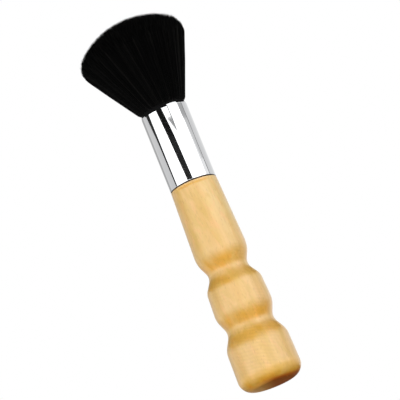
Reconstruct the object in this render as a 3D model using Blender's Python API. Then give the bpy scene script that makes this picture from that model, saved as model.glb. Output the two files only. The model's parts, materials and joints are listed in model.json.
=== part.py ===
"""Neck duster brush: a turned wooden handle, a chromed ferrule and a soft tuft of bristles.

Metres, +Z up. The brush stands on the flat foot of its handle. The origin is the middle of that
foot and +Z runs up the handle, so the bristle tips are the highest point. The bristles have been
brushed over to one side, so the tuft leans a little towards -X.
"""

import math
import random

import bmesh
import bpy
from mathutils import Matrix, Vector
from mathutils.geometry import delaunay_2d_cdt

MM = 0.001

# Main sizes, in millimetres
FERRULE_RADIUS = 11.0
SHOULDER_HEIGHT = 98.4
MOUTH_HEIGHT = 137.0
TIP_HEIGHT = 182.2
SEAT_GAP = 0.3

# Ferrule: a drawn tube, its mouth rolled in to a narrow lip
FERRULE_WALL = 0.5
ROLL_RADIUS = 4.5
ROLL_RISE = 1.2
ROLL_INSET = 0.64
LIP_RADIUS = 10.1
LIP_THICKNESS = 0.7
LIP_TAPER = 0.9
EDGE_RADIUS = 0.2
FERRULE_BORE = FERRULE_RADIUS - FERRULE_WALL
FERRULE_LENGTH = MOUTH_HEIGHT - SHOULDER_HEIGHT - SEAT_GAP

# Tenon, relieved above its land to leave room for glue
LAND_RADIUS = FERRULE_BORE - SEAT_GAP
LAND_LENGTH = 5.0
GLUE_THICKNESS = 0.7
TENON_RADIUS = LAND_RADIUS - GLUE_THICKNESS - SEAT_GAP
TENON_LENGTH = 15.0
TENON_CHAMFER = 0.8
TENON_TOP = SHOULDER_HEIGHT + TENON_LENGTH
GLUE_BOTTOM = SHOULDER_HEIGHT + LAND_LENGTH + SEAT_GAP
GLUE_TOP = TENON_TOP + SEAT_GAP + 1.0

# Handle outline from the middle of the foot to the end of the tenon: radius, height, corner radius
HANDLE_OUTLINE = (
    (0.0, 0.0, 0.0),
    (15.1, 0.0, 6.1),
    (14.6, 21.0, 9.6),
    (10.5, 28.4, 6.2),
    (13.65, 36.1, 10.4),
    (13.0, 48.9, 5.5),
    (8.75, 55.55, 5.5),
    (12.4, 63.3, 13.5),
    (FERRULE_RADIUS, SHOULDER_HEIGHT, 0.3),
    (LAND_RADIUS, SHOULDER_HEIGHT, 0.0),
    (LAND_RADIUS, SHOULDER_HEIGHT + LAND_LENGTH, 0.0),
    (TENON_RADIUS, SHOULDER_HEIGHT + LAND_LENGTH, 0.0),
    (TENON_RADIUS, TENON_TOP - TENON_CHAMFER, 0.0),
    (TENON_RADIUS - TENON_CHAMFER, TENON_TOP, 0.0),
    (0.0, TENON_TOP, 0.0),
)

# Resin plug: a cup that the butt of the tuft is set in
PLUG_BOTTOM = GLUE_TOP + SEAT_GAP
PLUG_FLOOR = 3.4
PLUG_HEIGHT = 7.4

# Tuft: heights are from the ferrule's mouth
ROOT_RADIUS = 8.6
ROOT_BOTTOM = PLUG_BOTTOM + PLUG_FLOOR + SEAT_GAP - MOUTH_HEIGHT
ROOT_FLARE_BOTTOM = -5.6
ROOT_FLARE_TOP = -2.2
ROOT_TOP = -1.6
STRANDS = 400
STRAND_WIDTH = 0.46
STRAND_POINT = 2.8
STRAND_SCATTER = 0.3
MOUTH_SPREAD = 9.45
FAN_ORIGIN = Vector((2.25, 0.0, -17.0))
DOME_RADIUS = 38.0
DOME_CENTRE = Vector((-0.7, 0.0, TIP_HEIGHT - MOUTH_HEIGHT - DOME_RADIUS))
EDGE_START = 0.72
EDGE_DROP = 5.2
GOLDEN_ANGLE = math.pi * (3 - math.sqrt(5))

# Binding cord round the butt of the tuft
CORD_DIAMETER = 0.9
CORD_TURNS = 4
CORD_PITCH = 1.4
CORD_BOTTOM = PLUG_BOTTOM + PLUG_HEIGHT + 1.2
CORD_RADIUS = ROOT_RADIUS + SEAT_GAP + CORD_DIAMETER / 2
POINTS_PER_TURN = 24

# Facets: an arc has as many as keep it this near its true curve
AROUND = 48
ARC_ERROR = 0.02
SHARP_ANGLE = math.radians(35)
WELD = 0.02 * MM
FLAT_WELD = 1e-6


def finish(name, colour, roughness, metallic=0.0):
    """A material of one colour, given as linear red, green and blue."""
    material = bpy.data.materials.new(name)
    material.use_nodes = True
    shader = material.node_tree.nodes["Principled BSDF"]
    shader.inputs["Base Color"].default_value = (*colour, 1.0)
    shader.inputs["Roughness"].default_value = roughness
    shader.inputs["Metallic"].default_value = metallic
    material.diffuse_color = (*colour, 1.0)
    return material


def piece(name, data, material, brush, height=0.0):
    """A named object of the brush, standing at a height up its axis."""
    data.materials.append(material)
    made = bpy.data.objects.new(name, data)
    bpy.context.scene.collection.objects.link(made)
    made.parent = brush
    made.location.z = height * MM
    return made


def mesh_of(name, shape):
    """The finished mesh of a bmesh, facing out and smooth over its round faces."""
    bmesh.ops.recalc_face_normals(shape, faces=shape.faces)
    mesh = bpy.data.meshes.new(name)
    shape.to_mesh(mesh)
    shape.free()
    mesh.shade_smooth()
    mesh.set_sharp_from_angle(angle=SHARP_ANGLE)
    return mesh


def rounded(corners):
    """The outline through (radius, height, corner radius) corners, with an arc at each round corner."""
    outline = []
    for i, (radius, height, arc) in enumerate(corners):
        corner = Vector((radius, height))
        if arc == 0:
            outline.append(corner)
            continue
        before = (Vector(corners[i - 1][:2]) - corner).normalized()
        after = (Vector(corners[(i + 1) % len(corners)][:2]) - corner).normalized()
        half = before.angle(after) / 2
        centre = corner + (before + after).normalized() * arc / math.sin(half)
        start = corner + before * arc / math.tan(half) - centre
        turn = math.pi - 2 * half
        steps = math.ceil(turn / (2 * math.acos(1 - ARC_ERROR / arc)))
        if before.x * after.y > before.y * after.x:
            turn = -turn
        for step in range(steps + 1):
            outline.append(centre + Matrix.Rotation(turn * step / steps, 2) @ start)
    return outline


def turned(name, corners, closed=False):
    """A mesh turned on the axis from an outline, which is closed where it doesn't end on the axis."""
    shape = bmesh.new()
    points = [shape.verts.new((x * MM, 0, z * MM)) for x, z in rounded(corners)]
    edges = [shape.edges.new(pair) for pair in zip(points, points[1:])]
    if closed:
        edges.append(shape.edges.new((points[-1], points[0])))
    bmesh.ops.spin(
        shape,
        geom=points + edges,
        cent=(0, 0, 0),
        axis=(0, 0, 1),
        angle=2 * math.pi,
        steps=AROUND,
        use_merge=True,
    )
    bmesh.ops.remove_doubles(shape, verts=shape.verts, dist=WELD)
    return mesh_of(name, shape)


def make_handle(brush):
    wood = finish("lacquered_wood", (0.72, 0.42, 0.15), 0.35)
    piece("handle", turned("handle", HANDLE_OUTLINE), wood, brush)


def make_ferrule(brush):
    """The tube: up its outside, in over the roll, down the lip and back down its bore."""
    lip_bottom = FERRULE_LENGTH - LIP_THICKNESS
    outline = (
        (FERRULE_RADIUS, 0.0, EDGE_RADIUS),
        (FERRULE_RADIUS, FERRULE_LENGTH - ROLL_RISE, ROLL_RADIUS),
        (FERRULE_RADIUS - ROLL_INSET, FERRULE_LENGTH, EDGE_RADIUS),
        (LIP_RADIUS, FERRULE_LENGTH, EDGE_RADIUS / 2),
        (LIP_RADIUS, lip_bottom, EDGE_RADIUS),
        (FERRULE_BORE, lip_bottom - LIP_TAPER, 0.0),
        (FERRULE_BORE, 0.0, 0.0),
    )
    chrome = finish("chrome", (0.78, 0.79, 0.8), 0.06, 1.0)
    piece("ferrule", turned("ferrule", outline, closed=True), chrome, brush, SHOULDER_HEIGHT + SEAT_GAP)


def make_tenon_glue(brush):
    """The cap of glue over the relieved part of the tenon."""
    height = GLUE_TOP - GLUE_BOTTOM
    inside = TENON_TOP + SEAT_GAP - GLUE_BOTTOM
    outline = (
        (0.0, inside, 0.0),
        (LAND_RADIUS - GLUE_THICKNESS, inside, 0.0),
        (LAND_RADIUS - GLUE_THICKNESS, 0.0, 0.0),
        (LAND_RADIUS, 0.0, 0.0),
        (LAND_RADIUS, height, 0.0),
        (0.0, height, 0.0),
    )
    glue = finish("wood_glue", (0.62, 0.47, 0.22), 0.4)
    piece("tenon_glue", turned("tenon_glue", outline), glue, brush, GLUE_BOTTOM)


def make_root_plug(brush):
    """The cup of resin that the butts of the bristles are set in."""
    outline = (
        (0.0, 0.0, 0.0),
        (LAND_RADIUS, 0.0, 0.0),
        (LAND_RADIUS, PLUG_HEIGHT, 0.6),
        (ROOT_RADIUS + SEAT_GAP, PLUG_HEIGHT, 0.0),
        (ROOT_RADIUS + SEAT_GAP, PLUG_FLOOR, 0.0),
        (0.0, PLUG_FLOOR, 0.0),
    )
    resin = finish("resin", (0.45, 0.3, 0.1), 0.25)
    piece("root_plug", turned("root_plug", outline), resin, brush, PLUG_BOTTOM)


def make_binding_cord(brush):
    """One cord wound round the butt of the tuft in an open helix."""
    count = CORD_TURNS * POINTS_PER_TURN + 1
    route = []
    for i in range(count):
        angle = 2 * math.pi * i / POINTS_PER_TURN
        rise = CORD_PITCH * i / POINTS_PER_TURN
        route.append(Vector((CORD_RADIUS * math.cos(angle), CORD_RADIUS * math.sin(angle), rise)))
    apart = POINTS_PER_TURN // 2
    least = min((a - b).length for i, a in enumerate(route) for b in route[i + apart :])
    print(f"binding_cord: least gap to itself {least - CORD_DIAMETER:.2f} mm")

    curve = bpy.data.curves.new("binding_cord", "CURVE")
    curve.dimensions = "3D"
    curve.bevel_depth = CORD_DIAMETER / 2 * MM
    curve.bevel_resolution = 1
    curve.use_fill_caps = True
    spline = curve.splines.new("POLY")
    spline.points.add(count - 1)
    for point, place in zip(spline.points, route):
        point.co = (*(place * MM), 1.0)
    thread = finish("waxed_thread", (0.5, 0.45, 0.36), 0.8)
    piece("binding_cord", curve, thread, brush, CORD_BOTTOM)


def strand_reach(direction, share):
    """From the fan's origin to a tip: out to the dome, and less where the dome's edge is rounded."""
    centre = DOME_CENTRE - FAN_ORIGIN
    along = centre.dot(direction)
    reach = along + math.sqrt(along**2 - centre.length_squared + DOME_RADIUS**2)
    edge = max(0.0, (share - EDGE_START) / (1 - EDGE_START))
    return reach - EDGE_DROP * (1 - math.sqrt(1 - edge**2))


def strand_shapes():
    """Each strand's square foot on the root, the share of its length that is straight, and its tip.

    All strands run away from one point under the mouth, so none crosses another. They are spread
    over the mouth as seeds are over a sunflower.
    """
    scatter = random.Random(5)
    depth = (ROOT_TOP - FAN_ORIGIN.z) / -FAN_ORIGIN.z
    for i in range(STRANDS):
        share = math.sqrt((i + 0.5) / STRANDS)
        turn = Matrix.Rotation(i * GOLDEN_ANGLE, 3, "Z")
        across = turn @ Vector((MOUTH_SPREAD * share, 0, 0)) - FAN_ORIGIN
        foot = FAN_ORIGIN + across * depth
        direction = across.normalized()
        reach = strand_reach(direction, share) - scatter.uniform(-STRAND_SCATTER, STRAND_SCATTER)
        half = STRAND_WIDTH / 2
        corners = [(-half, -half), (half, -half), (half, half), (-half, half)]
        square = [foot + turn @ Vector((x, y, 0)) for x, y in corners]
        growth = (reach - STRAND_POINT) / (foot - FAN_ORIGIN).length
        yield square, growth, FAN_ORIGIN + direction * reach


def ring_of(shape, radius, height):
    angles = [2 * math.pi * i / AROUND for i in range(AROUND)]
    return [shape.verts.new((radius * math.cos(a), radius * math.sin(a), height)) for a in angles]


def bridge(shape, lower, upper):
    """The faces between two rings of as many points."""
    for i, point in enumerate(lower):
        after = (i + 1) % len(lower)
        shape.faces.new((point, lower[after], upper[after], upper[i]))


def make_bristle_tuft(brush):
    """Strands that grow out of the packed butt of the tuft, all as one body."""
    shape = bmesh.new()
    rings = [
        ring_of(shape, ROOT_RADIUS, ROOT_BOTTOM),
        ring_of(shape, ROOT_RADIUS, ROOT_FLARE_BOTTOM),
        ring_of(shape, LAND_RADIUS, ROOT_FLARE_TOP),
        ring_of(shape, LAND_RADIUS, ROOT_TOP),
    ]
    shape.faces.new(rings[0])
    for lower, upper in zip(rings, rings[1:]):
        bridge(shape, lower, upper)

    points = list(rings[-1])
    strands = list(strand_shapes())
    for square, growth, tip in strands:
        foot = [shape.verts.new(corner) for corner in square]
        top = [shape.verts.new(FAN_ORIGIN + (corner - FAN_ORIGIN) * growth) for corner in square]
        bridge(shape, foot, top)
        peak = shape.verts.new(tip)
        for i in range(4):
            shape.faces.new((top[i], top[(i + 1) % 4], peak))
        points += foot

    outlines = [list(range(AROUND))]
    outlines += [list(range(AROUND + 4 * i, AROUND + 4 * i + 4)) for i in range(STRANDS)]
    flat = [point.co.xy for point in points]
    _, _, faces, origins, _, sources = delaunay_2d_cdt(flat, [], outlines, 1, FLAT_WELD)
    for face, source in zip(faces, sources):
        if source == [0]:
            shape.faces.new([points[origins[corner][0]] for corner in face])

    bmesh.ops.scale(shape, vec=(MM, MM, MM), verts=shape.verts)
    bristle = finish("black_bristle", (0.006, 0.006, 0.006), 0.6)
    piece("bristle_tuft", mesh_of("bristle_tuft", shape), bristle, brush, MOUTH_HEIGHT)


def main():
    for old in list(bpy.data.objects):
        bpy.data.objects.remove(old)
    brush = bpy.data.objects.new("neck_duster_brush", None)
    bpy.context.scene.collection.objects.link(brush)
    make_handle(brush)
    make_ferrule(brush)
    make_tenon_glue(brush)
    make_root_plug(brush)
    make_binding_cord(brush)
    make_bristle_tuft(brush)


main()
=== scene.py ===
"""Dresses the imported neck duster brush.

The handle, the ferrule and the fillings inside it are turned again with finer facets, the binding cord
is laid from three strands, and the solid of the tuft gives way to thousands of separate bristles.
Lengths are in millimetres unless a name says otherwise, and the frame is in metres.
"""

import json
import math
import random
from typing import NamedTuple

import bmesh
import bpy
import numpy
from mathutils import Matrix, Vector, noise

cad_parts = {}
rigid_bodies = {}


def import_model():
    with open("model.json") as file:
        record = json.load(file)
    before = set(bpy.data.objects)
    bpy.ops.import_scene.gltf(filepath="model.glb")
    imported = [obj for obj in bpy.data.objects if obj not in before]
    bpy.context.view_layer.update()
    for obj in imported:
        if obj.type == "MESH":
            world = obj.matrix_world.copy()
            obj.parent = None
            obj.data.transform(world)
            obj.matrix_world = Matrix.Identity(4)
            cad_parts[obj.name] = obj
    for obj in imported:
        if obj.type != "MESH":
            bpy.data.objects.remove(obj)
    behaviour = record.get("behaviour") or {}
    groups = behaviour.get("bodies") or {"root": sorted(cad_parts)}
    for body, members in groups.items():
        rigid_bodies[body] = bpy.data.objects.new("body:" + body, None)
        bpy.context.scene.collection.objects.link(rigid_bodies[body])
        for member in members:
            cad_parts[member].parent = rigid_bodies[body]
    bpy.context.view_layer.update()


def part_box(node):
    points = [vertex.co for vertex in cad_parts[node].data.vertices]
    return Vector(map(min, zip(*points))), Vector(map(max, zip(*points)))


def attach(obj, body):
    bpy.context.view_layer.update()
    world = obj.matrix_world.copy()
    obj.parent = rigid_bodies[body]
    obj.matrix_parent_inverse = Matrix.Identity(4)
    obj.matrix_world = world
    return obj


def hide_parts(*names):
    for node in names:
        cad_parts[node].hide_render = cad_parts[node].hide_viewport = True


for old in list(bpy.data.objects):
    bpy.data.objects.remove(old)
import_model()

MM = 0.001

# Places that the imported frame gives
FERRULE_LOW, FERRULE_HIGH = (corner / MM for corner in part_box("ferrule"))
FERRULE_RADIUS = FERRULE_HIGH.x
FERRULE_BOTTOM = FERRULE_LOW.z
MOUTH_HEIGHT = FERRULE_HIGH.z
TUFT_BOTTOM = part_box("bristle_tuft")[0].z / MM
TENON_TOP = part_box("handle")[1].z / MM

# Handle outline from the middle of the foot to the end of the tenon: radius, height, corner radius
SEAT_GAP = 0.3
SHOULDER_HEIGHT = FERRULE_BOTTOM - SEAT_GAP
LAND_RADIUS = 10.2
LAND_LENGTH = 5.0
TENON_RADIUS = 9.2
TENON_CHAMFER = 0.8
HANDLE_OUTLINE = (
    (0.0, 0.0, 0.0),
    (15.1, 0.0, 6.1),
    (14.6, 21.0, 9.6),
    (10.5, 28.4, 6.2),
    (13.65, 36.1, 10.4),
    (13.0, 48.9, 5.5),
    (8.75, 55.55, 5.5),
    (12.4, 63.3, 13.5),
    (FERRULE_RADIUS, SHOULDER_HEIGHT, 0.3),
    (LAND_RADIUS, SHOULDER_HEIGHT, 0.0),
    (LAND_RADIUS, SHOULDER_HEIGHT + LAND_LENGTH, 0.0),
    (TENON_RADIUS, SHOULDER_HEIGHT + LAND_LENGTH, 0.0),
    (TENON_RADIUS, TENON_TOP - TENON_CHAMFER, 0.0),
    (TENON_RADIUS - TENON_CHAMFER, TENON_TOP, 0.0),
    (0.0, TENON_TOP, 0.0),
)

# Ferrule outline, round its wall: its mouth is rolled in to a narrow lip
FERRULE_BORE = 10.5
ROLL_RADIUS = 4.5
ROLL_RISE = 1.2
ROLL_INSET = 0.64
LIP_RADIUS = 10.1
LIP_THICKNESS = 0.7
LIP_TAPER = 0.9
LIP_BOTTOM = MOUTH_HEIGHT - LIP_THICKNESS
EDGE_RADIUS = 0.2
FERRULE_OUTLINE = (
    (FERRULE_RADIUS, FERRULE_BOTTOM, EDGE_RADIUS),
    (FERRULE_RADIUS, MOUTH_HEIGHT - ROLL_RISE, ROLL_RADIUS),
    (FERRULE_RADIUS - ROLL_INSET, MOUTH_HEIGHT, EDGE_RADIUS),
    (LIP_RADIUS, MOUTH_HEIGHT, EDGE_RADIUS / 2),
    (LIP_RADIUS, LIP_BOTTOM, EDGE_RADIUS),
    (FERRULE_BORE, LIP_BOTTOM - LIP_TAPER, 0.0),
    (FERRULE_BORE, FERRULE_BOTTOM, 0.0),
)

# Butt of the tuft inside the ferrule: radius, height from the mouth, corner radius
BUTT_BOTTOM = TUFT_BOTTOM - MOUTH_HEIGHT
BUTT_TOP = -1.6
WAIST_RADIUS = 8.6
BUTT_RADIUS = 9.9
BUTT_OUTLINE = (
    (0.0, BUTT_BOTTOM, 0.0),
    (WAIST_RADIUS, BUTT_BOTTOM, 0.3),
    (WAIST_RADIUS, -5.6, 2.0),
    (BUTT_RADIUS, -2.4, 1.0),
    (BUTT_RADIUS, BUTT_TOP, 0.3),
    (0.0, BUTT_TOP, 0.0),
)

# Cap of glue and cup of resin inside the ferrule, from the middle out: radius, height, corner radius
GLUE_LOW, GLUE_HIGH = (corner.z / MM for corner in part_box("tenon_glue"))
GLUE_BORE = 9.5
GLUE_INSIDE = TENON_TOP + SEAT_GAP
GLUE_OUTLINE = (
    (0.0, GLUE_INSIDE, 0.0),
    (GLUE_BORE, GLUE_INSIDE, 0.15),
    (GLUE_BORE, GLUE_LOW, 0.1),
    (LAND_RADIUS, GLUE_LOW, 0.2),
    (LAND_RADIUS, GLUE_HIGH, 0.5),
    (0.0, GLUE_HIGH, 0.0),
)
PLUG_LOW, PLUG_HIGH = (corner.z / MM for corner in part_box("root_plug"))
PLUG_BORE = 8.9
PLUG_FLOOR = TUFT_BOTTOM - SEAT_GAP
PLUG_OUTLINE = (
    (0.0, PLUG_LOW, 0.0),
    (LAND_RADIUS, PLUG_LOW, 0.4),
    (LAND_RADIUS, PLUG_HIGH, 0.6),
    (PLUG_BORE, PLUG_HIGH, 0.2),
    (PLUG_BORE, PLUG_FLOOR, 0.0),
    (0.0, PLUG_FLOOR, 0.0),
)

# Binding cord: three strands laid round one another, wound round the butt of the tuft
CORD_LOW, CORD_HIGH = (corner.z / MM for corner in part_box("binding_cord"))
CORD_DIAMETER = 0.9
CORD_TURNS = 4
CORD_RADIUS = 9.35
CORD_STRANDS = 3
STRAND_RADIUS = CORD_DIAMETER / 2 / (1 + 2 / math.sqrt(3))
LAYS_PER_TURN = 18
POINTS_PER_LAY = 9

# Bristles: heights are from the ferrule's mouth, and shares are of the way out to the tuft's edge
BRISTLES = 15000
BRISTLE_RADIUS = 0.09
BRISTLE_SIDES = 3
BRISTLE_SEED = 11
GOLDEN_ANGLE = math.pi * (3 - math.sqrt(5))
ANGLE_SCATTER = 0.02
SKIN_START = 0.75
POINT_LENGTH = 2.0
TIP_SCATTER = 0.9
STRAY_SHARE = 0.012
STRAY_REACH = 0.8
MOUTH_SPREAD = 11.0
FAN_ORIGIN = Vector((2.79, 0.0, -21.57))
DOME_RADIUS = 37.1
DOME_CENTRE = Vector((-0.67, 0.0, 45.2 - DOME_RADIUS))
EDGE_START = 0.78
EDGE_DROP = 4.74

# Course of a bristle: held in at its root and in the ferrule's throat, then bent halfway to its tip
ROOT_HEIGHT = BUTT_TOP - 0.3
ROOT_RADIUS = 9.75
THROAT_HEIGHT = 0.1
THROAT_RADIUS = 10.25
LOW_HEIGHT = 1.6
BEND = 0.35
BEND_FADE = 0.6
BEND_PLACE = 0.55

# Sway of the tips in locks, broad and fine: features in a millimetre and how far, less near the edge
SWAY_SEED = 3
BROAD_SWAY = (0.35, 0.7)
FINE_SWAY = (1.3, 0.25)
SWAY_FADE = 0.75
SWAY_FADE_START = 0.7

# Each bristle's own cell of the bake's UV map: the share that is left free at each side
CELL_MARGIN = 0.1

# Facets
AROUND = 144
ARC_ERROR = 0.002
RUN_END = 0.12
RUN_STEP = 1.0
SHORTEST_RUN = 6 * RUN_END
MERGE_DISTANCE = 0.001
SHARP_ANGLE = math.radians(35)

# Wood: where in the plank the handle was cut from, its growth rings and the paler sapwood beside them
GRAIN_PLACE_M = (-0.088, -0.092, 0.398)
PITH_PLACE_M = (0.041, 0.066, 0.0)
PITH_TURN = (0.05, -0.03, 0.0)
RING_STOPS = ((0.0, (0.72, 0.45, 0.13)), (0.5, (0.75, 0.475, 0.137)), (1.0, (0.785, 0.50, 0.162)))
SAPWOOD_LEAN = 0.25
SAPWOOD_RANGE_M = (0.021, 0.030)
SAPWOOD_SHARE = 0.5
SAPWOOD_COLOUR = (0.79, 0.63, 0.26, 1)


class Layer(NamedTuple):
    """A layer of the wood's figure: noise between two levels brings in these shares of a colour."""

    scale: tuple
    levels: tuple
    shares: tuple
    colour: tuple
    detail: float = 1.0
    distortion: float = 0.0
    turn: tuple = (0, 0, 0)


WOOD_LAYERS = {
    "blush": Layer((150, 150, 45), (0.38, 0.62), (0, 0.55), (0.81, 0.50, 0.195, 1), 2.0, 0.6),
    "clouds": Layer(
        (330, 330, 80), (0.36, 0.55), (0.55, 0), (0.68, 0.43, 0.09, 1), 3.0, 0.8, (0.15, 0.3, 0)
    ),
    "peach": Layer(
        (420, 420, 110), (0.52, 0.7), (0, 0.5), (0.84, 0.46, 0.17, 1), 2.0, 0.8, (-0.2, 0.2, 0)
    ),
    "fibres": Layer((900, 900, 40), (0.3, 0.56), (0.2, 0), (0.62, 0.33, 0.07, 1), 3.0),
    "specks": Layer((1500, 1500, 420), (0.6, 0.72), (0, 0.35), (0.56, 0.32, 0.10, 1)),
    "flecks": Layer((2400, 2400, 330), (0.68, 0.76), (0, 0.6), (0.52, 0.26, 0.075, 1)),
}
CURL_TURN = (0.0, -0.3, 0.0)
CURL_COLOUR = (0.55, 0.30, 0.08, 1)

# Stain that the end grain took, with painted shade on the cove walls and under the foot: how far the
# height it is read at leans from front to back and how far it is moved down, which set the painted shade
# bands where the shade falls, and what it leaves of the wood's colour, from faces that look down to faces
# that look up
STAIN_AND_SHADE_LEAN = 0.08
STAIN_AND_SHADE_DROP = 0.55
STAIN_AND_SHADE_STOPS = (
    (0.0, (0.72, 0.30, 0.0)),
    (0.05, (0.88, 0.46, 0.03)),
    (0.12, (0.95, 0.64, 0.09)),
    (0.2, (0.98, 0.74, 0.16)),
    (0.28, (0.95, 0.79, 0.28)),
    (0.37, (0.97, 0.90, 0.64)),
    (0.45, (1.0, 1.0, 1.0)),
    (0.57, (1.0, 1.0, 1.0)),
    (0.66, (0.98, 0.95, 0.78)),
    (0.75, (0.97, 0.88, 0.52)),
    (0.86, (0.93, 0.78, 0.30)),
)

# Painted light and shade on the handle: painted light from the floor in a band on the foot, the end
# grain's stain with painted shade under the foot, lighter on the left where more light falls, and painted
# shade in the gap at the shoulder under the ferrule, each over the heights where it comes in and where it
# goes out
BOUNCE_LIGHT_RISE_M = (0.0015, 0.0035)
BOUNCE_LIGHT_FALL_M = (0.0045, 0.0075)
BOUNCE_LIGHT_SHARE = 0.3
BOUNCE_LIGHT_COLOUR = (0.98, 0.54, 0.08, 1)
END_STAIN_AND_SHADE_FALL_M = (0.0004, 0.0013)
END_STAIN_AND_SHADE_SIDES_M = (-0.006, 0.001)
END_STAIN_AND_SHADE_STOPS = ((0.0, (0.82, 0.39, 0.055)), (1.0, (0.52, 0.125, 0.0)))
GAP_SHADE_RISE_M = ((SHOULDER_HEIGHT - 0.4) * MM, (SHOULDER_HEIGHT - 0.15) * MM)
GAP_SHADE_FALL_M = ((SHOULDER_HEIGHT + 0.6) * MM, (SHOULDER_HEIGHT + 1.0) * MM)
GAP_SHADE_COLOUR = (0.09, 0.04, 0.015, 1)

# Camera, as the photograph was taken
CAMERA_DISTANCE_M = 1.4
CAMERA_AIM_M = Vector((0.0001, 0.0, 0.090845))
CAMERA_ELEVATION = math.radians(-13)
CAMERA_ROLL = math.radians(22.04)
SENSOR_WIDTH = 36.0
IMAGE_WIDTH_PX = 400
FOCAL_PX = 3090

# Surround: how much light it gives, from a direction below the horizon to one above it
SURROUND_RISE = (-0.2, 0.1)
SURROUND_LIGHT = (0.42, 0.3)

# Floor: its size, and how far from the brush it fades into the white surround
FLOOR_HALF_M = 4.0
FLOOR_HEIGHT_M = -0.0003
FLOOR_COLOUR = (0.8, 0.8, 0.8, 1)
FLOOR_FADE_M = (0.3, 1.3)
FLOOR_LIFT = (0.35, 1.0)

# Lamps: degrees right of the camera's side, degrees up from LIGHT_HEIGHT_M, radiance, metres away. Some
# only show in reflections, and the fills only light surfaces. A fill in the direction of a lamp that
# shows stands a little nearer, because light is lost where two lamps share a plane.
LIGHT_HEIGHT_M = 0.1
SHOWN_LAMPS = (
    ("left_softbox", (-79.2, -12), (-2, 21.2), 2.2, 1.0),
    ("middle_softbox", (-12, 24), (-2, 18), 2.0, 1.0),
    ("right_softbox", (24, 80), (-2, 38), 2.0, 1.0),
)
FILL_LAMPS = (
    ("left_fill", (-66, -12), (-2, 21.2), 2.25, 0.95),
    ("left_low_fill", (-66, -12), (-42, -2), 1.4, 1.0),
    ("middle_fill", (-12, 24), (-2, 18), 0.8, 0.95),
    ("middle_low_fill", (-12, 24), (-24, -2), 0.9, 1.0),
    ("right_fill", (24, 80), (-2, 38), 2.18, 0.95),
    ("right_low_fill", (24, 81), (-10, -2), 1.5, 1.0),
    ("rear_fill", (160, 200), (-10, 30), 2.6, 1.0),
)

# Cards that only show in reflections: the azimuths of the low and of the high edge, the elevations of
# those edges, metres away, radiance
CARD_STEPS = 24
CARDS = (
    ("middle_card_low", (2.1, 20.5), (-27.4, 3.3), (8, 15.5), 0.85, 0.035),
    ("middle_card_high", (-27.4, 3.3), (-52.3, -26.8), (15.5, 20), 0.85, 0.015),
    ("left_dark_card_low", (-83, -74), (-90.5, -74), (11.4, 15.05), 1.35, 0.05),
    ("left_dark_card_high", (-90.5, -74), (-113.1, -74), (15.05, 17.5), 1.35, 0.05),
    ("left_roll_card", (-110, -12), (-110, -12), (17.2, 45), 0.9, 0.015),
    ("left_grey_card", (-135, -74), (-135, -74), (-10, 22), 1.5, 1.06),
    ("left_edge_card", (-180, -135), (-180, -135), (-10, 22), 1.5, 0.62),
    ("right_grey_card", (78, 103), (78, 103), (-10, 22), 1.5, 1.5),
    ("right_dark_card", (102.5, 106.5), (102.5, 106.5), (-10, 22), 1.45, 0.25),
    ("right_edge_card", (106, 180), (106, 180), (-10, 22), 1.5, 1.12),
    ("right_wedge_card_low", (92, 103), (82, 103), (14.0, 16.0), 0.95, 1.05),
    ("right_wedge_card_high", (78, 103), (74, 103), (16.0, 18.5), 0.95, 0.69),
    ("gap_card", (22.2, 25.8), (22.2, 25.8), (16.4, 20), 0.84, 0.1),
    ("gap_foot_card", (23.5, 25.5), (1, 28), (15.6, 16.4), 0.84, 0.5),
    ("ceiling_card", (-180, 180), (-180, 180), (16, 90), 1.6, 0.012),
)

# Ring on the floor that only shows in reflections: its edges, and its radiance at degrees right of the
# camera's side
FLOOR_RING_M = (0.04, 6.0)
FLOOR_RING_HEIGHT_M = 0.0005
FLOOR_TONES = (
    (-90, 0.3),
    (-75, 0.75),
    (-62, 1.7),
    (-54, 1.7),
    (-53, 0.3),
    (-38, 0.22),
    (-22, 0.04),
    (-10, 0.04),
    (-9, 0.45),
    (25, 0.75),
    (38, 1.7),
    (46, 1.7),
    (47, 0.28),
    (70, 0.12),
    (82, 0.04),
    (95, 0.04),
    (96, 0.5),
    (130, 0.9),
    (146, 2.0),
    (158, 2.0),
    (159, 0.35),
    (176, 0.25),
    (190, 0.05),
    (202, 0.05),
    (203, 0.5),
    (235, 0.9),
    (250, 1.8),
    (258, 1.8),
    (259, 0.5),
    (270, 0.3),
)

# Card under the foot: its radiance from left to right, and how much of that from front to back
CONTACT_HEIGHT_M = -0.0002
CONTACT_TONES = (
    (-30, 0.35),
    (-14, 0.35),
    (-9, 0.4),
    (-6, 0.2),
    (-2.7, 0.07),
    (0, 0.04),
    (9, 0.05),
    (12, 0.15),
    (30, 0.15),
)
CONTACT_SHARES = ((-30, 0.0), (-8, 0.0), (12, 1.0), (30, 1.0))


def node(tree, kind, inputs=None, **settings):
    """A new shader node. An input is a plain value or the output of another node."""
    made = tree.nodes.new("ShaderNode" + kind)
    for name, value in settings.items():
        setattr(made, name, value)
    for name, value in (inputs or {}).items():
        if isinstance(value, bpy.types.NodeSocket):
            tree.links.new(value, made.inputs[name])
        else:
            made.inputs[name].default_value = value
    return made


def calculate(tree, operation, *values):
    """The value that a Math node works out."""
    return node(tree, "Math", dict(enumerate(values)), operation=operation).outputs["Value"]


def mix(tree, factor, first, second, blend="MIX"):
    """The colour from mixing two colours."""
    made = node(tree, "Mix", {0: factor, 6: first, 7: second}, data_type="RGBA", blend_type=blend)
    return made.outputs[2]


def ramp(tree, factor, *stops):
    """The colour at a factor, between (place, colour) stops in rising order."""
    made = node(tree, "ValToRGB", {"Fac": factor})
    elements = made.color_ramp.elements
    elements.remove(elements[1])
    elements[0].position = stops[0][0]
    elements[0].color = (*stops[0][1], 1)
    for place, colour in stops[1:]:
        elements.new(place).color = (*colour, 1)
    return made.outputs["Color"]


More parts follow.
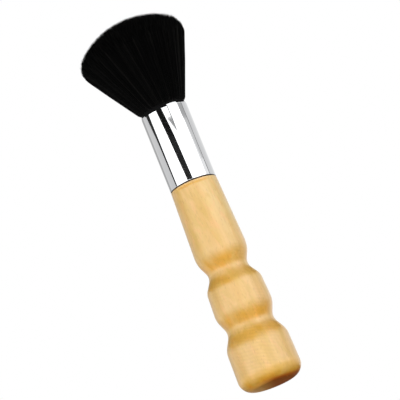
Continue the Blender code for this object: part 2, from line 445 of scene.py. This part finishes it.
def spread(tree, value, low, high, to_low=0.0, to_high=1.0):
    """A value moved from one range to another and kept in it."""
    inputs = {"Value": value, "From Min": low, "From Max": high, "To Min": to_low, "To Max": to_high}
    return node(tree, "MapRange", inputs).outputs["Result"]


def band(tree, value, rise, fall, most=1.0):
    """A value that comes in over one range of another value and goes out over a later range."""
    return calculate(tree, "MULTIPLY", spread(tree, value, *rise), spread(tree, value, *fall, most, 0.0))


def frame_place(tree):
    """The shaded point's place in the frame."""
    return node(tree, "TexCoord").outputs["Object"]


def grain(tree, scale, detail=2.0, distortion=0.0, turn=(0, 0, 0)):
    """Noise from 0 to 1, with this many features in a metre along each axis of the frame."""
    inputs = {"Vector": frame_place(tree), "Location": GRAIN_PLACE_M, "Rotation": turn}
    turned_place = node(tree, "Mapping", inputs).outputs["Vector"]
    stretched = node(tree, "Mapping", {"Vector": turned_place, "Scale": scale}).outputs["Vector"]
    inputs = {"Vector": stretched, "Scale": 1.0, "Detail": detail, "Distortion": distortion}
    return node(tree, "TexNoise", inputs).outputs["Fac"]


def new_material(name):
    """A material, its node tree and its Principled shader."""
    material = bpy.data.materials.new(name)
    material.use_nodes = True
    return material, material.node_tree, material.node_tree.nodes["Principled BSDF"]


def set_sockets(shader, **values):
    """Sets a shader's own sockets, named with _ for a space."""
    for name, value in values.items():
        shader.inputs[name.replace("_", " ")].default_value = value


def ring_colour(tree, place):
    """The wood's colour from its growth rings, which run round a pith outside the handle."""
    inputs = {"Vector": place, "Location": PITH_PLACE_M, "Rotation": PITH_TURN}
    pith = node(tree, "Mapping", inputs).outputs["Vector"]
    rings = node(
        tree,
        "TexWave",
        {"Vector": pith, "Scale": 70.0, "Distortion": 5.0, "Detail": 2.0, "Detail Scale": 0.4},
        wave_type="RINGS",
        rings_direction="Z",
    ).outputs["Fac"]
    return ramp(tree, rings, *RING_STOPS)


def curl_strength(tree, place):
    """How much the wood's cross curl shows, in a few patches."""
    slanted = node(tree, "Mapping", {"Vector": place, "Rotation": CURL_TURN}).outputs["Vector"]
    curl = node(
        tree,
        "TexWave",
        {"Vector": slanted, "Scale": 200.0, "Distortion": 7.0, "Detail": 2.0, "Detail Scale": 0.35},
        bands_direction="Z",
    ).outputs["Fac"]
    patches = spread(tree, grain(tree, (70, 70, 30), 1.0), 0.52, 0.64, 0.0, 0.16)
    return calculate(tree, "MULTIPLY", curl, patches)


def stain_and_shade_colour(tree):
    """What the end grain's stain and the painted shade on the cove walls and under the foot leave of the
    wood's colour, by the stored slope and the wood's uptake there.
    """
    slope = node(tree, "Attribute", attribute_name="slope").outputs["Fac"]
    uptake = spread(tree, grain(tree, (130, 130, 70), 2.0, 0.5), 0.35, 0.65, 0.65, 1.45)
    exposed = calculate(tree, "MULTIPLY", slope, uptake)
    return ramp(tree, spread(tree, exposed, -1, 1), *STAIN_AND_SHADE_STOPS)


def wood_material():
    """Pale lacquered wood: slanting streaks, flecks, a little curl and end grain that took more stain,
    with painted shade on the cove walls, under the foot and in the gap at the shoulder, and painted light
    from the floor on the foot.
    """
    material, tree, shader = new_material("lacquered_wood_grain")
    place = frame_place(tree)
    axes = node(tree, "SeparateXYZ", {"Vector": place}).outputs
    colour = ring_colour(tree, place)
    leaning = calculate(tree, "MULTIPLY_ADD", axes["Z"], SAPWOOD_LEAN, axes["X"])
    sapwood = spread(tree, leaning, *SAPWOOD_RANGE_M, 0.0, SAPWOOD_SHARE)
    colour = mix(tree, sapwood, colour, SAPWOOD_COLOUR)
    for layer in WOOD_LAYERS.values():
        figure = grain(tree, layer.scale, layer.detail, layer.distortion, layer.turn)
        colour = mix(tree, spread(tree, figure, *layer.levels, *layer.shares), colour, layer.colour)
    colour = mix(tree, curl_strength(tree, place), colour, CURL_COLOUR)
    # The end grain's stain and painted shade on the cove walls and under the foot
    colour = mix(tree, 1.0, colour, stain_and_shade_colour(tree), "MULTIPLY")

    # Painted light from the floor on the lower part of the foot
    bounce_light = band(tree, axes["Z"], BOUNCE_LIGHT_RISE_M, BOUNCE_LIGHT_FALL_M, BOUNCE_LIGHT_SHARE)
    colour = mix(tree, bounce_light, colour, BOUNCE_LIGHT_COLOUR)
    # The end grain's stain with painted shade under the foot, lighter on the left where more light falls
    end_stain_and_shade = spread(tree, axes["Z"], *END_STAIN_AND_SHADE_FALL_M, 1.0, 0.0)
    end_stain_and_shade_colour = ramp(tree, spread(tree, axes["X"], *END_STAIN_AND_SHADE_SIDES_M), *END_STAIN_AND_SHADE_STOPS)
    colour = mix(tree, end_stain_and_shade, colour, end_stain_and_shade_colour)
    # Painted shade in the gap at the shoulder, under the ferrule
    gap_shade = band(tree, axes["Z"], GAP_SHADE_RISE_M, GAP_SHADE_FALL_M)
    colour = mix(tree, gap_shade, colour, GAP_SHADE_COLOUR)
    tree.links.new(colour, shader.inputs["Base Color"])

    pores = grain(tree, (3000, 3000, 120), 2.0)
    tree.links.new(spread(tree, pores, 0.3, 0.7, 0.42, 0.58), shader.inputs["Roughness"])
    bump = node(tree, "Bump", {"Height": pores, "Strength": 0.08, "Distance": 0.0002})
    tree.links.new(bump.outputs["Normal"], shader.inputs["Normal"])
    set_sockets(shader, Specular_IOR_Level=0.2, Coat_Weight=1.0, Coat_Roughness=0.32, Coat_IOR=1.5)
    return material


def chrome_material():
    """Bright plating with faint smears and fine polishing lines round it."""
    material, tree, shader = new_material("chrome_plate")
    smears = grain(tree, (160, 160, 60), 4.0, 0.8)
    colour = ramp(tree, smears, (0.3, (0.505, 0.51, 0.52)), (0.7, (0.545, 0.55, 0.555)))
    tree.links.new(colour, shader.inputs["Base Color"])
    lines = grain(tree, (40, 40, 9000), 2.0)
    polish = calculate(tree, "MULTIPLY", smears, lines)
    tree.links.new(spread(tree, polish, 0.12, 0.4, 0.02, 0.05), shader.inputs["Roughness"])
    set_sockets(shader, Metallic=1.0)
    return material


def bristle_material():
    """Soft black bristle, with a few strands that are a little greyer."""
    material, tree, shader = new_material("soft_black_bristle")
    shade = node(tree, "Attribute", attribute_name="shade").outputs["Fac"]
    colour = ramp(
        tree,
        shade,
        (0.0, (0.001, 0.001, 0.001)),
        (0.8, (0.002, 0.002, 0.002)),
        (0.9, (0.006, 0.0058, 0.0055)),
        (1.0, (0.018, 0.017, 0.0155)),
    )
    tree.links.new(colour, shader.inputs["Base Color"])
    scales = grain(tree, (2500, 2500, 2500), 1.0)
    tree.links.new(spread(tree, scales, 0.3, 0.7, 0.45, 0.65), shader.inputs["Roughness"])
    set_sockets(shader, Specular_IOR_Level=0.04)
    return material


def inner_material(name, dark, light, scale, roughness):
    """A mottled material for a piece that the ferrule hides."""
    material, tree, shader = new_material(name)
    mottle = grain(tree, (scale, scale, scale), 4.0, 0.5)
    tree.links.new(ramp(tree, mottle, (0.3, dark), (0.7, light)), shader.inputs["Base Color"])
    tree.links.new(spread(tree, mottle, 0.3, 0.7, *roughness), shader.inputs["Roughness"])
    bump = node(tree, "Bump", {"Height": mottle, "Strength": 0.2, "Distance": 0.0002})
    tree.links.new(bump.outputs["Normal"], shader.inputs["Normal"])
    return material


def glue_material():
    """Set wood glue, cloudy and satin."""
    return inner_material("set_glue", (0.55, 0.4, 0.17), (0.66, 0.51, 0.26), 300, (0.3, 0.5))


def resin_material():
    """Amber resin, set to a gloss."""
    return inner_material("amber_resin", (0.36, 0.22, 0.06), (0.5, 0.34, 0.12), 400, (0.2, 0.35))


def cord_material():
    """Waxed thread, dull and flecked."""
    return inner_material("waxed_cord", (0.4, 0.35, 0.27), (0.56, 0.5, 0.4), 2000, (0.7, 0.9))


def rounded(corners):
    """The outline through (radius, height, corner radius) corners, with an arc at each round corner."""
    outline = []
    for i, (radius, height, arc) in enumerate(corners):
        corner = Vector((radius, height))
        if arc == 0:
            outline.append(corner)
            continue
        before = (Vector(corners[i - 1][:2]) - corner).normalized()
        after = (Vector(corners[(i + 1) % len(corners)][:2]) - corner).normalized()
        half = before.angle(after) / 2
        centre = corner + (before + after).normalized() * arc / math.sin(half)
        start = corner + before * arc / math.tan(half) - centre
        turn = math.pi - 2 * half
        steps = math.ceil(turn / (2 * math.acos(1 - ARC_ERROR / arc)))
        if before.x * after.y > before.y * after.x:
            turn = -turn
        for step in range(steps + 1):
            outline.append(centre + Matrix.Rotation(turn * step / steps, 2) @ start)
    return outline


def held_straight(outline):
    """The outline with more points on its straight runs, of which the outer ones stand near the ends."""
    held = outline[:1]
    for start, end in zip(outline, outline[1:]):
        length = (end - start).length
        if length > SHORTEST_RUN:
            inner = max(1, round((length - 2 * RUN_END) / RUN_STEP))
            steps = [RUN_END + (length - 2 * RUN_END) * i / inner for i in range(inner + 1)]
            held += [start.lerp(end, step / length) for step in steps]
        held.append(end)
    return held


def turned(corners, closed=False, height=0.0):
    """A bmesh turned on the axis from an outline, which is closed where it doesn't end on the axis."""
    shape = bmesh.new()
    outline = held_straight(rounded(corners))
    points = [shape.verts.new((x * MM, 0, (z + height) * MM)) for x, z in outline]
    edges = [shape.edges.new(pair) for pair in zip(points, points[1:])]
    if closed:
        edges.append(shape.edges.new((points[-1], points[0])))
    bmesh.ops.spin(
        shape,
        geom=points + edges,
        cent=(0, 0, 0),
        axis=(0, 0, 1),
        angle=2 * math.pi,
        steps=AROUND,
        use_merge=True,
    )
    bmesh.ops.remove_doubles(shape, verts=shape.verts, dist=MERGE_DISTANCE * MM)
    bmesh.ops.recalc_face_normals(shape, faces=shape.faces)
    return shape


def link(name, data, material=None):
    """An object of a mesh, a lamp or other data, in the scene."""
    made = bpy.data.objects.new(name, data)
    bpy.context.scene.collection.objects.link(made)
    if material:
        data.materials.append(material)
    return made


def piece(name, mesh, material, slot, *nodes):
    """A piece of the brush, which stands for CAD nodes where it names any."""
    made = link(name, mesh, material)
    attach(made, "root")
    if nodes:
        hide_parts(*nodes)
    return made


def turned_piece(name, shape, material, slot, *nodes):
    """A piece of the brush from a turned bmesh, smooth up to its sharp edges."""
    mesh = bpy.data.meshes.new(name)
    shape.to_mesh(mesh)
    shape.free()
    mesh.shade_smooth()
    mesh.set_sharp_from_angle(angle=SHARP_ANGLE)
    return piece(name, mesh, material, slot, *nodes)


def store_slope(mesh, corners):
    """Keeps on each point how far the outline faces up or down there, as 1 to -1, for the end grain's
    stain and the painted shade.

    The height that the slope is read at falls from front to back and lies a little above the point
    itself, which moves the painted shade bands off the true slopes to where the shade falls.
    """
    outline = held_straight(rounded(corners))
    runs = [(start, end) for start, end in zip(outline, outline[1:]) if end.y > start.y]
    heights = [(start.y + end.y) / 2 for start, end in runs]
    slopes = [(start.x - end.x) / (end - start).length for start, end in runs]
    read = [(point.co.z - STAIN_AND_SHADE_LEAN * point.co.y) / MM + STAIN_AND_SHADE_DROP for point in mesh.vertices]
    values = numpy.interp(read, heights, slopes)
    mesh.attributes.new("slope", "FLOAT", "POINT").data.foreach_set("value", values)


def make_handle():
    """The turned wooden handle."""
    shape = turned(HANDLE_OUTLINE)
    handle = turned_piece("turned_handle", shape, wood_material(), "lacquered_wood", "handle")
    store_slope(handle.data, HANDLE_OUTLINE)


def make_ferrule():
    """The chromed tube."""
    shape = turned(FERRULE_OUTLINE, closed=True)
    turned_piece("plated_ferrule", shape, chrome_material(), "chrome", "ferrule")


def fan_place(across, height):
    """The place at a height on the line from the fan's origin, which runs through the mouth."""
    return FAN_ORIGIN + across * ((height - FAN_ORIGIN.z) / -FAN_ORIGIN.z)


def held_in(place, radius):
    """A place, brought in to a radius where it is farther from the axis."""
    if place.xy.length > radius:
        place.xy *= radius / place.xy.length
    return place


def square_to(direction, vector):
    """The part of a vector that is square to a direction."""
    return vector - direction * vector.dot(direction)


def bristle_reach(direction, share):
    """From the fan's origin to a tip: out to the dome, and less where the dome's edge is rounded."""
    centre = DOME_CENTRE - FAN_ORIGIN
    along = centre.dot(direction)
    reach = along + math.sqrt(along**2 - centre.length_squared + DOME_RADIUS**2)
    edge = max(0.0, (share - EDGE_START) / (1 - EDGE_START))
    return reach - EDGE_DROP * (1 - math.sqrt(1 - edge**2))


def tip_sway(tip, share):
    """How far a tip goes with its lock."""
    sway = Vector()
    for scale, most in (BROAD_SWAY, FINE_SWAY):
        sway += noise.noise_vector(tip * scale) * most
    fade = max(0.0, share - SWAY_FADE_START) / (1 - SWAY_FADE_START)
    return sway * (1 - SWAY_FADE * fade)


def bristle_paths():
    """Each bristle's share of the way out, its points from root to tip and its shade from 0 to 1."""
    chance = random.Random(BRISTLE_SEED)
    noise.seed_set(SWAY_SEED)
    for i in range(BRISTLES):
        share = math.sqrt((i + 0.5) / BRISTLES)
        angle = i * GOLDEN_ANGLE + chance.uniform(-ANGLE_SCATTER, ANGLE_SCATTER)
        outward = Vector((math.cos(angle), math.sin(angle), 0))
        across = outward * MOUTH_SPREAD * share - FAN_ORIGIN
        direction = across.normalized()
        reach = bristle_reach(direction, share) - chance.uniform(0, TIP_SCATTER)
        if chance.random() < STRAY_SHARE:
            reach += chance.uniform(0, STRAY_REACH)
        tip = FAN_ORIGIN + direction * reach
        tip += square_to(direction, tip_sway(tip, share))

        root = held_in(fan_place(across, ROOT_HEIGHT), ROOT_RADIUS)
        throat = held_in(fan_place(across, THROAT_HEIGHT), THROAT_RADIUS)
        low = fan_place(across, LOW_HEIGHT)
        bend = Vector([chance.uniform(-BEND, BEND) for _ in range(3)])
        middle = low.lerp(tip, BEND_PLACE) + square_to(direction, bend) * (1 - BEND_FADE * share)
        taper = tip + (middle - tip).normalized() * POINT_LENGTH
        if share < SKIN_START:
            path = [root, middle, taper, tip]
        else:
            path = [root, throat, low, middle, taper, tip]
        yield share, path, chance.random()


def bristle_points(path, turn):
    """A bristle's points: a ring round each place on its path but the last, which is its tip."""
    along = (path[-1] - path[0]).normalized()
    side = along.orthogonal().normalized() * BRISTLE_RADIUS
    other = along.cross(side)
    for place in path[:-1]:
        for k in range(BRISTLE_SIDES):
            angle = 2 * math.pi * k / BRISTLE_SIDES + turn
            yield place + side * math.cos(angle) + other * math.sin(angle)
    yield path[-1]


def bristle_faces(first, rows):
    """A three-sided bristle's faces at its root, sides and tip, as lists of (point, column, row) corners.

    Columns run round the bristle and rows along it, for the bake's UV map.
    """
    yield [(first + 2, 2, 0), (first + 1, 1, 0), (first, 1.5, 1)]
    for row in range(1, rows - 1):
        above = first + BRISTLE_SIDES * row
        below = above - BRISTLE_SIDES
        for k in range(BRISTLE_SIDES):
            after = (k + 1) % BRISTLE_SIDES
            yield [
                (below + k, k, row),
                (below + after, k + 1, row),
                (above + after, k + 1, row + 1),
                (above + k, k, row + 1),
            ]
    tip = first + BRISTLE_SIDES * (rows - 1)
    last_ring = tip - BRISTLE_SIDES
    for k in range(BRISTLE_SIDES):
        after = (k + 1) % BRISTLE_SIDES
        yield [(last_ring + k, k, rows - 1), (last_ring + after, k + 1, rows - 1), (tip, k + 0.5, rows)]


def bake_place(number, columns, across, along):
    """A place in a bristle's cell of the bake's UV map, at shares of the cell's width and height."""
    cell = Vector((number % columns, number // columns))
    inside = Vector((across, along)) * (1 - 2 * CELL_MARGIN) + Vector((CELL_MARGIN, CELL_MARGIN))
    return (cell + inside) / columns


def bristle_mesh(name, bristles):
    """Pointed bristles, each with a shade and with a cell of its own in the bake's UV map."""
    points, faces, shades, places = [], [], [], []
    columns = math.ceil(math.sqrt(len(bristles)))
    lift = Vector((0, 0, MOUTH_HEIGHT))
    for i, (_, path, shade) in enumerate(bristles):
        first = len(points)
        points += [(point + lift) * MM for point in bristle_points(path, i)]
        shades += [shade] * (len(points) - first)
        for corners in bristle_faces(first, len(path)):
            faces.append([point for point, _, _ in corners])
            for _, column, row in corners:
                places.extend(bake_place(i, columns, column / BRISTLE_SIDES, row / len(path)))
    mesh = bpy.data.meshes.new(name)
    mesh.from_pydata(points, [], faces)
    mesh.attributes.new("shade", "FLOAT", "POINT").data.foreach_set("value", shades)
    mesh.uv_layers.new(name="OFBake").data.foreach_set("uv", places)
    mesh.shade_smooth()
    return mesh


def make_tuft():
    """The tuft: its butt in the ferrule, the core and the outer layer of its bristles."""
    material = bristle_material()
    butt = turned(BUTT_OUTLINE, height=MOUTH_HEIGHT)
    turned_piece("bristle_butt", butt, material, "black_bristle")
    bristles = list(bristle_paths())
    core = bristle_mesh("core_bristles", [bristle for bristle in bristles if bristle[0] < SKIN_START])
    piece("core_bristles", core, material, "black_bristle")
    skin = bristle_mesh("outer_bristles", [bristle for bristle in bristles if bristle[0] >= SKIN_START])
    piece("outer_bristles", skin, material, "black_bristle", "bristle_tuft")


def make_glue():
    """The cap of glue round the tenon."""
    turned_piece("set_glue_cap", turned(GLUE_OUTLINE), glue_material(), "wood_glue", "tenon_glue")


def make_resin():
    """The cup of resin round the butt of the tuft."""
    turned_piece("resin_cup", turned(PLUG_OUTLINE), resin_material(), "resin", "root_plug")


def cord_strand(number):
    """The points along one strand of the binding cord."""
    turns = numpy.linspace(0, CORD_TURNS, CORD_TURNS * LAYS_PER_TURN * POINTS_PER_LAY + 1)
    offset = CORD_DIAMETER / 2 - STRAND_RADIUS
    rise = CORD_HIGH - CORD_LOW - CORD_DIAMETER
    for turn in turns:
        angle = 2 * math.pi * turn
        lay = 2 * math.pi * (turn * LAYS_PER_TURN + number / CORD_STRANDS)
        radius = CORD_RADIUS + offset * math.cos(lay)
        height = CORD_LOW + CORD_DIAMETER / 2 + rise * turn / CORD_TURNS + offset * math.sin(lay)
        yield Vector((radius * math.cos(angle), radius * math.sin(angle), height)) * MM


def make_cord():
    """The binding cord, as a mesh of its strands."""
    curve = bpy.data.curves.new("cord_strands", "CURVE")
    curve.dimensions = "3D"
    curve.bevel_depth = STRAND_RADIUS * MM
    curve.bevel_resolution = 1
    curve.use_fill_caps = True
    for number in range(CORD_STRANDS):
        places = list(cord_strand(number))
        spline = curve.splines.new("POLY")
        spline.points.add(len(places) - 1)
        for point, place in zip(spline.points, places):
            point.co = (*place, 1)
    guide = link("cord_strands", curve)
    mesh = bpy.data.meshes.new_from_object(guide)
    bpy.data.objects.remove(guide)
    mesh.name = "twisted_cord"
    mesh.shade_smooth()
    piece("twisted_cord", mesh, cord_material(), "waxed_thread", "binding_cord")


def make_camera():
    """The camera, below the brush and rolled, as the photograph was taken."""
    ahead = Vector((0, math.cos(CAMERA_ELEVATION), -math.sin(CAMERA_ELEVATION)))
    level_up = Vector((0, math.sin(CAMERA_ELEVATION), math.cos(CAMERA_ELEVATION)))
    level_right = Vector((1, 0, 0))
    right = math.cos(CAMERA_ROLL) * level_right - math.sin(CAMERA_ROLL) * level_up
    up = math.sin(CAMERA_ROLL) * level_right + math.cos(CAMERA_ROLL) * level_up
    lens = bpy.data.cameras.new("camera")
    lens.sensor_fit = "HORIZONTAL"
    lens.sensor_width = SENSOR_WIDTH
    lens.lens = FOCAL_PX / IMAGE_WIDTH_PX * SENSOR_WIDTH
    made = link("camera", lens)
    turn = Matrix((right, up, -ahead)).transposed().to_4x4()
    made.matrix_world = Matrix.Translation(CAMERA_AIM_M - ahead * CAMERA_DISTANCE_M) @ turn
    bpy.context.scene.camera = made


def make_surround():
    """A surround that shows white and gives less light than it shows."""
    world = bpy.data.worlds.new("surround")
    bpy.context.scene.world = world
    world.use_nodes = True
    tree = world.node_tree
    tree.nodes.clear()
    ray = node(tree, "LightPath").outputs
    seen = calculate(tree, "MAXIMUM", ray["Is Camera Ray"], ray["Is Glossy Ray"])
    seen = calculate(tree, "MAXIMUM", seen, ray["Is Transmission Ray"])
    way = node(tree, "TexCoord").outputs["Generated"]
    rise = node(tree, "SeparateXYZ", {"Vector": way}).outputs["Z"]
    light = spread(tree, rise, *SURROUND_RISE, *SURROUND_LIGHT)
    strength = spread(tree, seen, 0, 1, light, 1.0)
    white = node(tree, "Background", {"Color": (1, 1, 1, 1), "Strength": strength})
    node(tree, "OutputWorld", {"Surface": white.outputs["Background"]})


def floor_material():
    """Matt and pale from above, fading into the white surround, and clear from below."""
    paint = bpy.data.materials.new("pale_floor")
    paint.use_nodes = True
    tree = paint.node_tree
    tree.nodes.clear()
    matt = node(tree, "BsdfDiffuse", {"Color": FLOOR_COLOUR}).outputs["BSDF"]
    away = node(tree, "VectorMath", {0: frame_place(tree)}, operation="LENGTH").outputs["Value"]
    haze = spread(tree, away, *FLOOR_FADE_M, *FLOOR_LIFT)
    seen = node(tree, "LightPath").outputs["Is Camera Ray"]
    lift = calculate(tree, "MULTIPLY", seen, haze)
    glow = node(tree, "Emission", {"Color": (1, 1, 1, 1), "Strength": lift}).outputs["Emission"]
    top = node(tree, "AddShader", {0: matt, 1: glow}).outputs["Shader"]
    clear = node(tree, "BsdfTransparent").outputs["BSDF"]
    behind = node(tree, "NewGeometry").outputs["Backfacing"]
    side = node(tree, "MixShader", {0: behind, 1: top, 2: clear}).outputs["Shader"]
    node(tree, "OutputMaterial", {"Surface": side})
    return paint


def make_floor():
    """The floor under the foot."""
    sides = [(-1, -1), (1, -1), (1, 1), (-1, 1)]
    corners = [(x * FLOOR_HALF_M, y * FLOOR_HALF_M, FLOOR_HEIGHT_M) for x, y in sides]
    mesh = bpy.data.meshes.new("floor")
    mesh.from_pydata(corners, [], [(0, 1, 2, 3)])
    floor = link("floor", mesh, floor_material())
    floor.visible_diffuse = False
    floor.visible_shadow = False


def from_camera(azimuth, elevation, distance=1.0):
    """The place at this angle right of the camera's side of the brush and above it, in metres."""
    a, e = math.radians(azimuth), math.radians(elevation)
    outward = Vector((math.sin(a) * math.cos(e), -math.cos(a) * math.cos(e), math.sin(e)))
    return outward * distance + Vector((0, 0, LIGHT_HEIGHT_M))


def softbox(name, azimuths, elevations, radiance, distance):
    """An area lamp that faces the brush, over a range of azimuths and of elevations."""
    middle = sum(azimuths) / 2
    width = 2 * distance * math.tan(math.radians(azimuths[1] - azimuths[0]) / 2)
    low, high = (distance * math.tan(math.radians(elevation)) for elevation in elevations)
    lamp = bpy.data.lights.new(name, "AREA")
    lamp.shape = "RECTANGLE"
    lamp.size = width
    lamp.size_y = high - low
    lamp.energy = radiance * width * (high - low) * math.pi
    made = link(name, lamp)
    made.location = from_camera(middle, 0, distance) + Vector((0, 0, (low + high) / 2))
    inward = -from_camera(middle, 0).xy.to_3d()
    made.rotation_euler = inward.to_track_quat("-Z", "Y").to_euler()
    made.visible_camera = False
    return made


def make_lamps():
    """The lamps that show in reflections and the fills that light surfaces."""
    for values in SHOWN_LAMPS:
        softbox(*values).visible_diffuse = False
    for values in FILL_LAMPS:
        softbox(*values).visible_glossy = False


def glowing(name, mesh, radiance=None):
    """A mesh that only shows in reflections and glows evenly, or else as its stored tones say."""
    paint = bpy.data.materials.new(name)
    paint.use_nodes = True
    tree = paint.node_tree
    tree.nodes.clear()
    if radiance is None:
        radiance = node(tree, "Attribute", attribute_name="tone").outputs["Fac"]
    glow = node(tree, "Emission", {"Color": (1, 1, 1, 1), "Strength": radiance})
    node(tree, "OutputMaterial", {"Surface": glow.outputs["Emission"]})
    paint.cycles.emission_sampling = "NONE"
    made = link(name, mesh, paint)
    made.visible_camera = False
    made.visible_diffuse = False
    made.visible_transmission = False
    made.visible_shadow = False


def toned_mesh(name, places, tones, row):
    """A sheet of faces between rows of places, with the tone of each place stored on it."""
    firsts = [i for i in range(len(places) - row) if (i + 1) % row]
    mesh = bpy.data.meshes.new(name)
    mesh.from_pydata(places, [], [(i, i + 1, i + row + 1, i + row) for i in firsts])
    mesh.attributes.new("tone", "FLOAT", "POINT").data.foreach_set("value", tones)
    return mesh


def card(name, low_azimuths, high_azimuths, elevations, distance, radiance):
    """A card curved round the brush, from one azimuth to another at its low and at its high edge."""
    shape = bmesh.new()
    rows = []
    for up in numpy.linspace(0, 1, CARD_STEPS + 1):
        elevation = elevations[0] + (elevations[1] - elevations[0]) * up
        left, right = (low + (high - low) * up for low, high in zip(low_azimuths, high_azimuths))
        azimuths = numpy.linspace(left, right, CARD_STEPS + 1)
        rows.append([shape.verts.new(from_camera(azimuth, elevation, distance)) for azimuth in azimuths])
    for low, high in zip(rows, rows[1:]):
        for i in range(CARD_STEPS):
            shape.faces.new((low[i], low[i + 1], high[i + 1], high[i]))
    mesh = bpy.data.meshes.new(name)
    shape.to_mesh(mesh)
    shape.free()
    glowing(name, mesh, radiance)


def floor_ring():
    """Light and dark sectors on the floor round the brush, for the chrome to show from above."""
    azimuths = range(FLOOR_TONES[0][0], FLOOR_TONES[-1][0] + 1)
    height = Vector((0, 0, FLOOR_RING_HEIGHT_M))
    outward = [from_camera(azimuth, 0).xy.to_3d() for azimuth in azimuths]
    places = [way * radius + height for way in outward for radius in FLOOR_RING_M]
    tones = numpy.repeat(numpy.interp(azimuths, *zip(*FLOOR_TONES)), len(FLOOR_RING_M))
    glowing("floor_ring", toned_mesh("floor_ring", places, tones, len(FLOOR_RING_M)))


def contact_card():
    """The dark under the foot, which keeps the lacquer there from showing much light."""
    places, tones = [], []
    for across, tone in CONTACT_TONES:
        for deep, share in CONTACT_SHARES:
            places.append((across * MM, deep * MM, CONTACT_HEIGHT_M))
            tones.append(tone * share)
    glowing("contact_card", toned_mesh("contact_card", places, tones, len(CONTACT_SHARES)))


def make_stage():
    """A pale floor, a white surround, soft lamps and what the chrome shows between them."""
    bpy.context.scene.view_settings.view_transform = "Standard"
    make_surround()
    make_floor()
    make_lamps()
    for values in CARDS:
        card(*values)
    floor_ring()
    contact_card()


def main():
    """The camera, the stage and each piece of the brush, from the foot up and then inside."""
    make_camera()
    make_stage()
    make_handle()
    make_ferrule()
    make_tuft()
    make_glue()
    make_resin()
    make_cord()


main()
